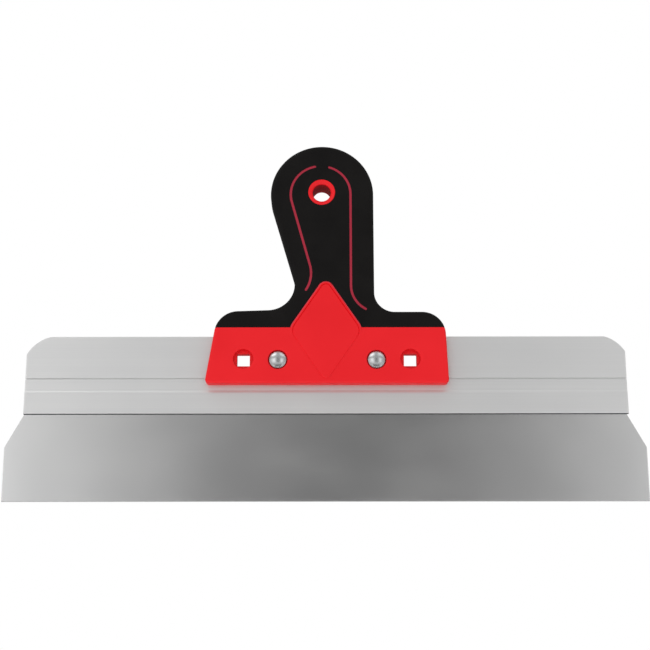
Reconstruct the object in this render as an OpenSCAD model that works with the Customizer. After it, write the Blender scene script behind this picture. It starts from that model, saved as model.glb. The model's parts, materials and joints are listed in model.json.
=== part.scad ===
// Drywall taping knife, 400 mm, held in an extruded aluminium back.
//
// Everything is modelled in a working frame whose X runs along the blade,
// whose Z is the height above the cutting edge and whose Y is the depth,
// front face towards -Y.  place() then moves the work so that the origin
// sits at the centre of the hanging hole.  Dimensions are in millimetres.

/* [Blade] */
// Length of the cutting edge
blade_w = 400; // [300:10:500]
// Thickness of the stainless strip
blade_t = 0.5; // [0.4:0.1:0.8]
// Height of the strip that shows below the aluminium back
blade_exposed = 55; // [50:1:60]
// Height up to which the ends of the strip are square
blade_square_h = 33.6; // [28:0.2:40]
// Depth of the strip held inside the slot of the back
blade_tang = 14; // [10:1:15]

/* [Aluminium back] */
// Length of the extrusion
back_w = 378.6; // [280:0.2:480]
// Overall height of the extrusion
back_h = 49.8; // [46:0.2:54]
// Thickness of the upper plate
plate_t = 2.0; // [1.6:0.2:2.6]
// Radius of the cut on the two upper corners
back_corner_r = 21; // [16:1:26]
// Height above the cutting edge of the sighting groove
groove_z = 77.8; // [76:0.2:80]

/* [Handle] */
// Distance from the cutting edge up to the centre of the hanging hole
hole_above_edge = 199; // [195:0.5:205]
// Sideways distance from the middle of the blade to the hanging hole
hole_offset = 2.2; // [0:0.1:6]
// Diameter of the hanging hole
hang_d = 11.6; // [10:0.1:13]
// Outer diameter of the hard collar around the hanging hole
collar_d = 17.4; // [17:0.1:20]
// Thickness of the base that straddles the back
base_t = 16; // [15:0.5:18]
// Thickness of the grip at its crown
grip_t = 19; // [18:0.5:20]
// Height above the cutting edge of the underside of the base
base_z = 73.2; // [73:0.1:75]
// Height above the cutting edge where the soft cover begins
cover_z = 109; // [107:0.2:111]
// Thickness of the soft cover over the edges of the core
cover_t = 2.2; // [1.8:0.1:2.6]

/* [Fastening] */
// Height above the cutting edge of the rivets
rivet_z = 88.2; // [87:0.1:90]
// Distance between the two rivets
rivet_pitch = 62; // [58:0.2:66]
// Diameter of a rivet head
rivet_head_d = 10.9; // [9:0.1:11.5]
// Diameter of a rivet shank
rivet_d = 5; // [4:0.2:5.6]
// Height above the cutting edge of the square bolt holes
bolt_z = 88.6; // [87:0.1:90]
// Distance between the two square bolt holes
bolt_pitch = 105; // [100:0.2:110]
// Width of a square bolt hole
bolt_sq = 8; // [6:0.1:8.2]
// Diameter of the round sinking in front of a bolt hole
bolt_sink_d = 12.6; // [12:0.1:14]
// Depth of the round sinking in front of a bolt hole
bolt_sink_h = 3.7; // [2.5:0.1:4.5]

/* [Hidden] */
$fn = 96;
e = 0.01;

// Outline of the handle: centres (X, Z) and radii of its arcs.
head_c = [-2, 198.6];      head_r = 33.2;   // round head, convex
lw_c = [-55, 104.8];       lw_r = 15.2;     // corner of the left shoulder
rw_c = [61.3, 104.5];      rw_r = 14.9;     // corner of the right shoulder
lc_c = [-36.6, 137.7];     lc_r = 17.1;     // left neck, concave
rc_r = 12.9;                                // right neck, concave
rc_c = [head_c[0] + head_r + rc_r, rw_c[1] + rw_r + rc_r];
left_lean = 9.4;                            // lean of the left end, degrees
right_lean = 2.5;                           // lean of the right end, degrees

// Contour ribs of the core: centres and radii of their arcs.
rib_w = 1.7;
rib_c = [-2.9, 197.6];     rib_r = 19.3;
rib_lc = [-29, 144.6];     rib_lr = 20;
rib_rr = 17.5;
rib_rc = [rib_c[0] + rib_r + rib_rr, 136.5];

// Raised diamond on both faces of the core: half sizes, and the radii of
// its side and end corners.
dia_c = [0.4, 106.4];
dia_hw = 20.6;
dia_hh = 30.2;
dia_rs = 7;
dia_rt = 3;
rim = 2.2;

rivet_mid = 1.2;                            // middle of the two rivets
bolt_mid = 1.0;                             // middle of the two bolt holes
back_mid = 0.4;                             // middle of the extrusion
back_z0 = blade_exposed;
back_z1 = blade_exposed + back_h;
yp0 = -plate_t/2 + 0.1;                     // front face of the upper plate
yp1 = yp0 + plate_t;                        // rear face of the upper plate
core_t = base_t - 2.6;                      // thickness of the core in the grip

// ---------- helpers ----------

// Moves the work from the blade frame to the hanging-hole frame.
module place() { translate([hole_offset, 0, -hole_above_edge]) children(); }

// Extrudes a drawing made in X and Z between two depths.
module slab(y0, y1) {
    translate([0, y1, 0]) rotate([90, 0, 0]) linear_extrude(height = y1 - y0) children();
}

// Cylinder along Y between two depths.
module ycyl(x, z, d, y0, y1) {
    translate([x, y0, z]) rotate([-90, 0, 0]) cylinder(d = d, h = y1 - y0);
}

// Cone along Y between two depths.
module ycone(x, z, d0, d1, y0, y1) {
    translate([x, y0, z]) rotate([-90, 0, 0]) cylinder(d1 = d0, d2 = d1, h = y1 - y0);
}

function dir(a) = [cos(a), sin(a)];
function ang(v) = atan2(v[1], v[0]);

// Direction of the normal of the line that passes outside circle a and
// inside circle b, turned to the side s.
function cross_ang(a, ra, b, rb, s) =
    ang(b - a) + s * acos((ra + rb) / norm(b - a));

// Outline of the handle, drawn d inside its true edge, down to height z0.
module handle_outline(d, z0) {
    n1 = cross_ang(head_c, head_r, lc_c, lc_r, -1);
    n2 = cross_ang(lw_c, lw_r, lc_c, lc_r, 1);
    e1 = lw_c + (lw_r - d) * dir(180 - left_lean);
    e2 = rw_c + (rw_r - d) * dir(right_lean);
    difference() {
        union() {
            polygon([
                [e1[0] - (e1[1] - z0) * tan(left_lean), z0],
                e1,
                lw_c + (lw_r - d) * dir(n2),
                lc_c - (lc_r + d) * dir(n2),
                lc_c - (lc_r + d) * dir(n1),
                head_c + (head_r - d) * dir(n1),
                head_c + [head_r - d, 0],
                rc_c - [rc_r + d, 0],
                rc_c - [0, rc_r + d],
                rw_c + [0, rw_r - d],
                e2,
                [e2[0] + (e2[1] - z0) * tan(right_lean), z0]]);
            translate(head_c) circle(r = head_r - d);
            translate(lw_c) circle(r = lw_r - d);
            translate(rw_c) circle(r = rw_r - d);
        }
        translate(lc_c) circle(r = lc_r + d, $fn = 180);
        translate(rc_c) circle(r = rc_r + d, $fn = 180);
    }
}

// Only the neck and head of the handle, drawn d inside the true edge.
module grip_outline(d) {
    intersection() {
        handle_outline(d, base_z);
        translate([-60, 138]) square([120, 120]);
    }
}

// A lozenge with rounded corners, its edge moved g outwards all round.
module lozenge(g) {
    cs = dia_hw - dia_rs;              // centres of the two side arcs
    ct = dia_hh - dia_rt;              // centres of the two end arcs
    rs = dia_rs + g;
    rt = dia_rt + g;
    // direction of the normal of the straight sides
    n = acos((rt - rs) / norm([cs, ct])) - atan2(ct, cs);
    u = [cos(n), sin(n)];
    translate(dia_c) {
        polygon([
            [cs + rs*u[0], rs*u[1]], [rt*u[0], ct + rt*u[1]],
            [-rt*u[0], ct + rt*u[1]], [-cs - rs*u[0], rs*u[1]],
            [-cs - rs*u[0], -rs*u[1]], [-rt*u[0], -ct - rt*u[1]],
            [rt*u[0], -ct - rt*u[1]], [cs + rs*u[0], -rs*u[1]]]);
        for (s = [-1, 1]) {
            translate([s * cs, 0]) circle(r = rs);
            translate([0, s * ct]) circle(r = rt);
        }
    }
}

// One arc of a contour rib, between two directions.
module arc_band(c, r, w, a0, a1) {
    translate(c) intersection() {
        difference() { circle(r = r + w/2, $fn = 120); circle(r = r - w/2, $fn = 120); }
        polygon(concat([[0, 0]], [for (i = [0:6]) 2 * r * dir(a0 + (a1 - a0) * i / 6)]));
    }
}

// Straight stretch of a contour rib.
module bar(p, q, w) {
    n = dir(ang(q - p) + 90) * w / 2;
    polygon([p + n, q + n, q - n, p - n]);
}

// The two contour ribs of the grip, w wide.
module rib_lines(w) {
    n = cross_ang(rib_c, rib_r, rib_lc, rib_lr, -1);
    arc_band(rib_c, rib_r, w, 101, n + 360);
    bar(rib_c + rib_r * dir(n), rib_lc - rib_lr * dir(n), w);
    arc_band(rib_lc, rib_lr, w, -33, n + 180);
    arc_band(rib_c, rib_r, w, 0, 73);
    bar(rib_c + [rib_r, 0], rib_rc - [rib_rr, 0], w);
    arc_band(rib_rc, rib_rr, w, 180, 242);
}

// ---------- stainless blade ----------
module blade() {
    color("lightgray") place() slab(-blade_t/2, blade_t/2)
        polygon([
            [-blade_w/2, 0], [blade_w/2, 0],
            [blade_w/2, blade_square_h],
            [blade_w/2 - 11.6, back_z0],
            [blade_w/2 - 11.6, back_z0 + blade_tang],
            [-blade_w/2 + 11.6, back_z0 + blade_tang],
            [-blade_w/2 + 11.6, back_z0],
            [-blade_w/2, blade_square_h]]);
}

// ---------- aluminium back ----------
// Cross section in Y and Z: a thin upper plate, a slightly leaning band
// under the sighting groove and a thicker foot with the blade slot.
module back_section() {
    difference() {
        polygon([
            [-1.4, back_z0], [1.3, back_z0], [1.7, back_z0 + 0.4],
            [1.7, back_z0 + 13.0], [yp1, back_z0 + 14.8],
            [yp1, back_z1 - 0.3], [yp1 - 0.3, back_z1],
            [yp0 + 0.3, back_z1], [yp0, back_z1 - 0.3],
            [yp0, groove_z + 0.3], [yp0 + 0.35, groove_z + 0.2],
            [yp0 + 0.35, groove_z - 0.2], [yp0 - 0.05, groove_z - 0.3],
            [yp0 - 0.3, back_z0 + 14.6], [-1.8, back_z0 + 12.6],
            [-1.8, back_z0 + 0.4]]);
        translate([-blade_t/2, back_z0 - 1]) square([blade_t, blade_tang + 1]);
    }
}

module corner_cut(x, s, cx, cz) {
    // region outside an arc at one upper corner; s points outwards
    difference() {
        translate([s > 0 ? x - cx : x - 5, back_z1 - cz]) square([cx + 5, cz + 5]);
        translate([x - s * cx, back_z1 - cz]) circle(r = back_corner_r, $fn = 180);
    }
}

module back_profile() {
    color("silver") place() difference() {
        translate([back_mid - back_w/2, 0, 0])
            rotate([90, 0, 90]) linear_extrude(height = back_w) back_section();
        slab(-5, 5) {
            corner_cut(back_mid - back_w/2, -1, 19.4, 20.8);
            corner_cut(back_mid + back_w/2, 1, 17.8, 20.4);
        }
        for (s = [-1, 1]) {
            ycyl(rivet_mid + s * rivet_pitch/2, rivet_z, rivet_d + 0.2, -5, 5);
            translate([bolt_mid + s * bolt_pitch/2, 0, bolt_z])
                cube([bolt_sq, 20, bolt_sq], center = true);
        }
    }
}

// ---------- hard core of the handle ----------
module core_body() {
    // base, full size, below the soft cover, with eased lower edges
    intersection() {
        slab(-base_t/2, base_t/2) handle_outline(0, base_z);
        translate([-100, 0, 0]) rotate([90, 0, 90]) linear_extrude(height = 200)
            polygon([
                [-base_t/2 + 1.8, base_z], [base_t/2 - 1.8, base_z],
                [base_t/2 - 0.5, base_z + 0.5], [base_t/2, base_z + 1.8],
                [base_t/2, cover_z], [-base_t/2, cover_z],
                [-base_t/2, base_z + 1.8], [-base_t/2 + 0.5, base_z + 0.5]]);
    }
    // inner spine of the shoulders and grip
    slab(-core_t/2, core_t/2) intersection() {
        handle_outline(cover_t, base_z);
        translate([-100, cover_z - 1]) square([200, 140]);
    }
    // diamond panels on their rims, standing through the cover
    slab(-base_t/2 - 0.5, base_t/2 + 0.5) lozenge(rim);
    slab(-base_t/2 - 0.7, base_t/2 + 0.7) lozenge(0);
    // collar of the hanging hole
    ycyl(-hole_offset, hole_above_edge, collar_d, -grip_t/2 + 0.2, grip_t/2 - 0.2);
    // contour ribs
    slab(-grip_t/2 + 0.3, grip_t/2 - 0.3) rib_lines(rib_w);
}

module core_cuts() {
    // slot over the aluminium plate
    translate([-100, yp0, base_z - 1]) cube([200, plate_t, back_z1 - base_z + 1]);
    translate([-100, yp0 - 0.35, base_z - 1]) cube([200, plate_t, groove_z + 1.4 - base_z]);
    // hanging hole with a bevelled mouth at both ends
    ycyl(-hole_offset, hole_above_edge, hang_d, -20, 20);
    ycone(-hole_offset, hole_above_edge, collar_d - 1.2, hang_d, -grip_t/2 + 0.2 - e, -grip_t/2 + 1.9);
    ycone(-hole_offset, hole_above_edge, hang_d, collar_d - 1.2, grip_t/2 - 1.9, grip_t/2 - 0.2 + e);
    for (s = [-1, 1]) {
        // rivet hole, sunk for the head in front and for the washer behind
        ycyl(rivet_mid + s * rivet_pitch/2, rivet_z, rivet_d + 0.2, -20, 20);
        ycyl(rivet_mid + s * rivet_pitch/2, rivet_z, rivet_head_d + 1.3, -20, -base_t/2 + 1.6);
        ycyl(rivet_mid + s * rivet_pitch/2, rivet_z, rivet_head_d + 2.1, base_t/2 - 2.4, 20);
        // square bolt hole, sunk in front, open pocket down to the plate behind
        translate([bolt_mid + s * bolt_pitch/2, 0, bolt_z])
            cube([bolt_sq, 60, bolt_sq], center = true);
        ycyl(bolt_mid + s * bolt_pitch/2, bolt_z, bolt_sink_d, -20, -base_t/2 + bolt_sink_h);
        ycyl(bolt_mid + s * bolt_pitch/2, bolt_z, 16, yp1 - e, 20);
    }
}

module handle_core() {
    color("red") place() difference() { core_body(); core_cuts(); }
}

// ---------- soft cover of the grip ----------
module grip_cover() {
    color([0.11, 0.11, 0.11]) place() difference() {
        union() {
            intersection() {
                slab(-base_t/2, base_t/2) handle_outline(0, base_z);
                translate([-100, -20, cover_z]) cube([200, 40, 160]);
            }
            slab(-grip_t/2, grip_t/2) grip_outline(2.4);
        }
        // room for the spine
        slab(-core_t/2, core_t/2) intersection() {
            handle_outline(cover_t, base_z);
            translate([-100, cover_z - 1]) square([200, 140]);
        }
        slab(-20, 20) lozenge(rim);
        ycyl(-hole_offset, hole_above_edge, collar_d, -20, 20);
        slab(-20, 20) rib_lines(rib_w);
    }
}

// ---------- rivets ----------
module rivet(x) {
    y0 = -base_t/2 + 1.6;     // seat of the head
    y1 = base_t/2 - 2.4 + 0.8; // outside of the washer
    hr = rivet_head_d/2;
    dome = 2.1;
    sr = (hr * hr + dome * dome) / (2 * dome);
    // domed head
    intersection() {
        translate([x, y0 - dome + sr - 0.3, rivet_z]) sphere(r = sr);
        ycyl(x, rivet_z, rivet_head_d, y0 - dome - 1, y0 - 0.3 + e);
    }
    ycyl(x, rivet_z, rivet_head_d, y0 - 0.3, y0);
    // shank and set tail
    ycyl(x, rivet_z, rivet_d, y0 - e, y1 + e);
    ycone(x, rivet_z, 7.6, 6, y1, y1 + 1.1);
}

module rivets() {
    color("gainsboro") place()
        for (s = [-1, 1]) rivet(rivet_mid + s * rivet_pitch/2);
}

module rivet_washers() {
    color("gainsboro") place() for (s = [-1, 1]) difference() {
        ycyl(rivet_mid + s * rivet_pitch/2, rivet_z, 11.5, base_t/2 - 2.4, base_t/2 - 1.6);
        ycyl(rivet_mid + s * rivet_pitch/2, rivet_z, rivet_d + 0.2, 0, 20);
    }
}

blade();
back_profile();
handle_core();
grip_cover();
rivets();
rivet_washers();
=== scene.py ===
# Drywall taping knife: the looks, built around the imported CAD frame.
import bpy
import json
import math
import numpy as np
from mathutils import Matrix, Vector
from mathutils.geometry import delaunay_2d_cdt

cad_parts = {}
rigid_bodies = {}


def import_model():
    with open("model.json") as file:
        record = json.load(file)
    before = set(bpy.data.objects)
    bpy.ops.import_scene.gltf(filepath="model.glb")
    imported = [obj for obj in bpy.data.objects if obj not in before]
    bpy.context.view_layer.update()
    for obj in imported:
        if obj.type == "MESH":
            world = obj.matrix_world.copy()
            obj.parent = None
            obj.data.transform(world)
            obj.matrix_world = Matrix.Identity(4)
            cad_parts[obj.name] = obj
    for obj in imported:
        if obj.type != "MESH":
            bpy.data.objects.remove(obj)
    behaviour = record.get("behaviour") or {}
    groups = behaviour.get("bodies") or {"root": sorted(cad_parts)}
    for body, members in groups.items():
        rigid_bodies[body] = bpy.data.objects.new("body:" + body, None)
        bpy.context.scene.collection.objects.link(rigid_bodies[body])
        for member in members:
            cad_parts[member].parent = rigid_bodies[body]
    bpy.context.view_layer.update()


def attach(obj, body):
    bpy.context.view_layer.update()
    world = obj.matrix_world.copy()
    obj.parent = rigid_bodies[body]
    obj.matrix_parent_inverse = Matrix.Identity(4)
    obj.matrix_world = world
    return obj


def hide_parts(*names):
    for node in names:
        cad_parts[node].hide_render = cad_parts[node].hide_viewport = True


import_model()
MM = 0.001

# ------------------------------------------------------------------
# Driving sizes, in millimetres. X and Z below are in the blade frame
# (Z above the cutting edge); OX and OZ move them to the row frame,
# whose origin is the centre of the hanging hole.
# ------------------------------------------------------------------
OX, OZ = 2.2, -199.0
BASE_Z, COVER_Z, PLATE_TOP = 73.2, 109.0, 104.8
HALF = 8.0                                  # half thickness of the base
YP0, YP1 = -0.9, 1.1                        # faces of the aluminium plate
CORE = 6.7                                  # half thickness of the spine
HEAD, HEAD_R = np.array([-2.0, 198.6]), 33.2
LW, LW_R = np.array([-55.0, 104.8]), 15.2
RW, RW_R = np.array([61.3, 104.5]), 14.9
LC, LC_R = np.array([-36.6, 137.7]), 17.1
RC_R = 12.9
RC = np.array([HEAD[0] + HEAD_R + RC_R, RW[1] + RW_R + RC_R])
LEFT_LEAN, RIGHT_LEAN = 9.4, 2.5
FOOT_R = 2.5
HOLE = np.array([-OX, 199.0])
HANG_R, COLLAR_R = 5.8, 8.7
DIA_C, DIA_HW, DIA_HH, DIA_RS, DIA_RT, RIM = np.array([0.4, 106.8]), 20.6, 30.2, 7.0, 3.0, 2.2
RIB_W = 1.55
RIVETS = [(1.2 - 31.0, 88.2), (1.2 + 31.0, 88.2)]
BOLTS = [(1.0 - 52.5, 88.6), (1.0 + 52.5, 88.6)]
SINK_R, SINK_Y = 6.3, -HALF + 3.7
GAP_R, GAP_Y = 4.9, -HALF + 3.0
LINER = 4.8                                 # half width of the tube that lines a square hole
RSINK_R, RSINK_Y = 6.1, -HALF + 1.6
POCKET_R, RPOCKET_R, RPOCKET_Y = 8.0, 6.5, HALF - 2.4
SQ = 4.0


def d2(a):
    a = math.radians(a)
    return np.array([math.cos(a), math.sin(a)])


def smooth(a, b, x):
    t = np.clip((np.asarray(x, float) - a) / (b - a), 0, 1)
    return t * t * (3 - 2 * t)


def cross_ang(a, ra, b, rb, s):
    v = b - a
    return math.degrees(math.atan2(v[1], v[0])) + s * math.degrees(math.acos((ra + rb) / np.hypot(*v)))


# ------------------------------------------------------------------
# Outline of the handle, as points with inward normals
# ------------------------------------------------------------------
def edge_r(z):
    """Radius of the rounding between the face and the side."""
    return 1.7 + 1.5 * smooth(118, 150, z)


def build_outline():
    pts = []                                # x, z, inward nx, nz

    def arc(c, r, a0, a1, step, convex=True, extra=()):
        n = max(2, int(round(abs(a1 - a0) * math.pi / 180 * r / step)))
        angs = list(np.linspace(a0, a1, n + 1)) + [e for e in extra if min(a0, a1) < e < max(a0, a1)]
        angs = sorted(angs, reverse=a1 < a0)
        keep = [angs[0]]
        for t in angs[1:]:
            if abs(t - keep[-1]) < 0.25 and t not in extra:
                continue
            if abs(t - keep[-1]) < 0.25 and keep[-1] not in extra:
                keep.pop()
            keep.append(t)
        for t in keep:
            u = d2(t)
            p = c + r * u
            pts.append([p[0], p[1], *(-u if convex else u)])

    def line(p, q, step, at=()):
        v = q - p
        L = np.hypot(*v)
        u = v / L
        n = (-u[1], u[0])
        ts = list(np.linspace(0, 1, max(2, int(round(L / step))) + 1)[1:-1])
        for z in at:
            if abs(v[1]) > 1e-9:
                t = (z - p[1]) / v[1]
                if 0.001 < t < 0.999:
                    ts = [s for s in ts if abs(s - t) * L > 0.25] + [t]
        for t in sorted(ts):
            pts.append([*(p + v * t), *n])

    n1 = cross_ang(HEAD, HEAD_R, LC, LC_R, -1) % 360
    n2 = cross_ang(LW, LW_R, LC, LC_R, 1)
    n3 = cross_ang(HEAD, HEAD_R, RC, RC_R, 1)
    n4 = cross_ang(RW, RW_R, RC, RC_R, -1)
    er, el = d2(RIGHT_LEAN), d2(180 - LEFT_LEAN)
    e2, e1 = RW + RW_R * er, LW + LW_R * el
    zc = BASE_Z + FOOT_R
    br = np.array([e2[0] + (-FOOT_R - er[1] * (zc - e2[1])) / er[0], zc])
    bl = np.array([e1[0] + (-FOOT_R - el[1] * (zc - e1[1])) / el[0], zc])
    marks = [COVER_Z + k for k in (-0.35, -0.12, 0, 0.12, 0.35)]
    ra = [math.degrees(math.asin((z - RW[1]) / RW_R)) for z in marks]
    la = [180 - math.degrees(math.asin((z - LW[1]) / LW_R)) for z in marks]
    arc(br, FOOT_R, -90, RIGHT_LEAN, 0.45)
    line(br + FOOT_R * er, e2, 1.4, at=(PLATE_TOP,))
    arc(RW, RW_R, RIGHT_LEAN, n4, 0.9, extra=ra)
    line(RW + RW_R * d2(n4), RC - RC_R * d2(n4), 1.6)
    arc(RC, RC_R, n4 + 180, n3 + 180, 0.8, convex=False)
    line(RC - RC_R * d2(n3), HEAD + HEAD_R * d2(n3), 1.8)
    arc(HEAD, HEAD_R, n3, n1, 1.3)
    line(HEAD + HEAD_R * d2(n1), LC - LC_R * d2(n1), 1.8)
    arc(LC, LC_R, n1 - 180, n2 - 180, 0.9, convex=False)
    line(LC - LC_R * d2(n2), LW + LW_R * d2(n2), 1.6)
    arc(LW, LW_R, n2, 180 - LEFT_LEAN, 0.9, extra=la)
    line(e1, bl + FOOT_R * el, 1.4, at=(PLATE_TOP,))
    arc(bl, FOOT_R, 180 - LEFT_LEAN, 270, 0.45)
    line(bl - [0, FOOT_R], br - [0, FOOT_R], 2.0)
    return np.array(pts)


OUT = build_outline()
N = len(OUT)
# near the parting line and the top of the slot the rounding runs level
lev = 1 - smooth(4.5, 9, np.abs(OUT[:, 1] - 107)) * 1.0
ends = np.abs(OUT[:, 0]) > 60
flat_n = OUT[:, 2:4].copy()
flat_n[ends, 1] *= (1 - lev[ends])
flat_n /= np.hypot(flat_n[:, 0], flat_n[:, 1])[:, None]
stretch = 1 / np.sum(flat_n * OUT[:, 2:4], axis=1)
R_E = edge_r(OUT[:, 1])


def inset(d):
    return OUT[:, :2] + flat_n * (np.asarray(d) * stretch)[:, None]


def seg_dist(P, A, B):
    """Distance from points P to the segments A-B."""
    out = np.full(len(P), 1e9)
    for k in range(0, len(P), 2000):
        p = P[k:k + 2000, None, :]
        v = (B - A)[None]
        t = np.clip(np.sum((p - A[None]) * v, axis=2) / np.maximum(np.sum(v * v, axis=2), 1e-12), 0, 1)
        q = A[None] + v * t[..., None]
        out[k:k + 2000] = np.sqrt(np.min(np.sum((p - q) ** 2, axis=2), axis=1))
    return out


def loop_dist(P, loop):
    return seg_dist(P, loop, np.roll(loop, -1, axis=0))


def line_dist(P, chain):
    return seg_dist(P, chain[:-1], chain[1:])


def inside(P, loop):
    x, y = P[:, 0], P[:, 1]
    res = np.zeros(len(P), bool)
    for (x0, y0), (x1, y1) in zip(loop, np.roll(loop, -1, axis=0)):
        if y0 == y1:
            continue
        c = (y0 > y) != (y1 > y)
        res ^= c & (x < (x1 - x0) * (y - y0) / (y1 - y0) + x0)
    return res


# ------------------------------------------------------------------
# Features inside the outline
# ------------------------------------------------------------------
def circle(c, r, n):
    a = np.linspace(0, 2 * math.pi, n, endpoint=False)
    return np.stack([c[0] + r * np.cos(a), c[1] + r * np.sin(a)], 1)


def lozenge(g):
    cs, ct = DIA_HW - DIA_RS, DIA_HH - DIA_RT
    rs, rt = DIA_RS + g, DIA_RT + g
    n = math.degrees(math.acos((rt - rs) / math.hypot(cs, ct))) - math.degrees(math.atan2(ct, cs))
    pts = []
    for c, r, a0, a1, k in (((cs, 0), rs, -n, n, 14), ((0, ct), rt, n, 180 - n, 12),
                            ((-cs, 0), rs, 180 - n, 180 + n, 14), ((0, -ct), rt, 180 + n, 360 - n, 12)):
        for t in np.linspace(a0, a1, k + 1):
            pts.append(DIA_C + np.array(c) + r * d2(t))
    out = []
    for p, q in zip(pts, pts[1:] + pts[:1]):
        out.append(p)
        L = np.hypot(*(q - p))
        m = int(L / 1.6)
        out += [p + (q - p) * i / (m + 1) for i in range(1, m + 1)]
    return np.array(out)


def square(c, h, r=0.35):
    pts = []
    for sx, sz, a in ((1, 1, 0), (-1, 1, 90), (-1, -1, 180), (1, -1, 270)):
        for t in np.linspace(a, a + 90, 5):
            pts.append(np.array([c[0] + sx * (h - r), c[1] + sz * (h - r)]) + r * d2(t))
    return np.array(pts)


def rib_chains():
    c, r = np.array([-2.9, 197.6]), 19.3
    lc, lr = np.array([-29.0, 144.6]), 20.0
    rr = 17.5
    rc = np.array([c[0] + r + rr, 136.5])
    n = cross_ang(c, r, lc, lr, -1) % 360

    def arcpts(o, rad, a0, a1):
        k = max(3, int(abs(a1 - a0) * math.pi / 180 * rad / 0.9))
        return [o + rad * d2(t) for t in np.linspace(a0, a1, k + 1)]

    def fill(p, q):
        k = int(np.hypot(*(q - p)) / 1.2)
        return [p + (q - p) * i / k for i in range(1, k)]

    a = arcpts(c, r, 101, n)
    b = arcpts(lc, lr, n - 180, -33)
    left = a + fill(a[-1], b[0]) + b
    a = arcpts(c, r, 73, 0)
    b = arcpts(rc, rr, 180, 242)
    right = a + fill(a[-1], b[0]) + b
    return [np.array(left), np.array(right)]


RIBS = rib_chains()


def band(chain, h):
    """Closed outline h to each side of a chain of points, with round ends."""
    t = np.gradient(chain, axis=0)
    t /= np.hypot(t[:, 0], t[:, 1])[:, None]
    nrm = np.stack([-t[:, 1], t[:, 0]], 1)
    L, Rr = chain + nrm * h, chain - nrm * h
    a1 = math.degrees(math.atan2(*nrm[-1][::-1]))
    a0 = math.degrees(math.atan2(*(-nrm[0])[::-1]))
    cap1 = [chain[-1] + h * d2(a1 - k) for k in (30, 60, 90, 120, 150)]
    cap0 = [chain[0] + h * d2(a0 - k) for k in (30, 60, 90, 120, 150)]
    return np.array(list(L) + cap1 + list(Rr[::-1]) + cap0)


RIM_LOOP = lozenge(RIM)
PANEL = lozenge(0)
RIB_LOOPS = [band(c, RIB_W / 2) for c in RIBS]
RING = inset(R_E).astype(np.float32).astype(float)   # inner end of the edge rounding
i_left = int(np.argmin(np.abs(OUT[:, 1] - COVER_Z) + (OUT[:, 0] > 0) * 100))
i_right = int(np.argmin(np.abs(OUT[:, 1] - COVER_Z) + (OUT[:, 0] < 0) * 100))

# the border between red and black: parting line, over the lozenge, parting line
cand = RIM_LOOP[RIM_LOOP[:, 1] >= COVER_Z]
start = int(np.argmax(cand[:, 0] * 1000 - cand[:, 1]))
cand = np.roll(cand, -start, axis=0)
if cand[1, 0] > cand[0, 0]:
    cand = cand[::-1]


def rim_cross(sign):
    k = RIM_LOOP - DIA_C
    for p, q in zip(RIM_LOOP, np.roll(RIM_LOOP, -1, axis=0)):
        if (p[1] - COVER_Z) * (q[1] - COVER_Z) <= 0 and (p[0] - DIA_C[0]) * sign > 0 and p[1] != q[1]:
            return p + (q - p) * (COVER_Z - p[1]) / (q[1] - p[1])


XL, XR = rim_cross(-1), rim_cross(1)
order = cand[np.argsort(-np.arctan2(cand[:, 1] - 100, cand[:, 0] - DIA_C[0]))]
BORDER = np.array([OUT[i_left, :2], XL, *order, XR, OUT[i_right, :2]])


def crown(P):
    d = loop_dist(P, OUT[:, :2])
    r = edge_r(P[:, 1])
    return 1.35 * smooth(126, 168, P[:, 1]) * smooth(0, 13, d - r)


def roll(e, R=0.35, depth=0.2):
    u = np.clip(1 - e / R, 0, 1)
    return depth * (1 - np.sqrt(np.maximum(0, 1 - u * u)))


def dia_height(P):
    """How far the lozenge stands out of the surface round it."""
    sd = loop_dist(P, PANEL)
    g = np.where(inside(P, PANEL), -sd, sd)
    panel = 0.50
    up = smooth(101, 111, P[:, 1])
    bead = 0.72 * np.cos(np.clip((g - 0.85) / (RIM - 0.85), 0, 1) * math.pi / 2) ** 0.8
    outer = up * bead
    groove = 0.46 * np.clip(1 - np.abs(g - 0.35) / 0.35, 0, 1)
    t = smooth(0.1, 0.8, g)
    h = np.where(g <= 0, panel, panel * (1 - t) + outer * t)
    h -= groove * (0.75 + 0.25 * up)
    return np.where(g > RIM, 0, h)


def collar_depth(r):
    """Depth below the crown of the collar, by radius."""
    rs = [5.8, 5.86, 6.05, 6.4, 6.95, 7.6, 8.15, 8.45, 8.62, 8.7]
    ys = [2.05, 1.72, 1.38, 1.06, 0.72, 0.38, 0.16, 0.12, 0.18, 0.30]
    return np.interp(r, rs, ys)


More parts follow.
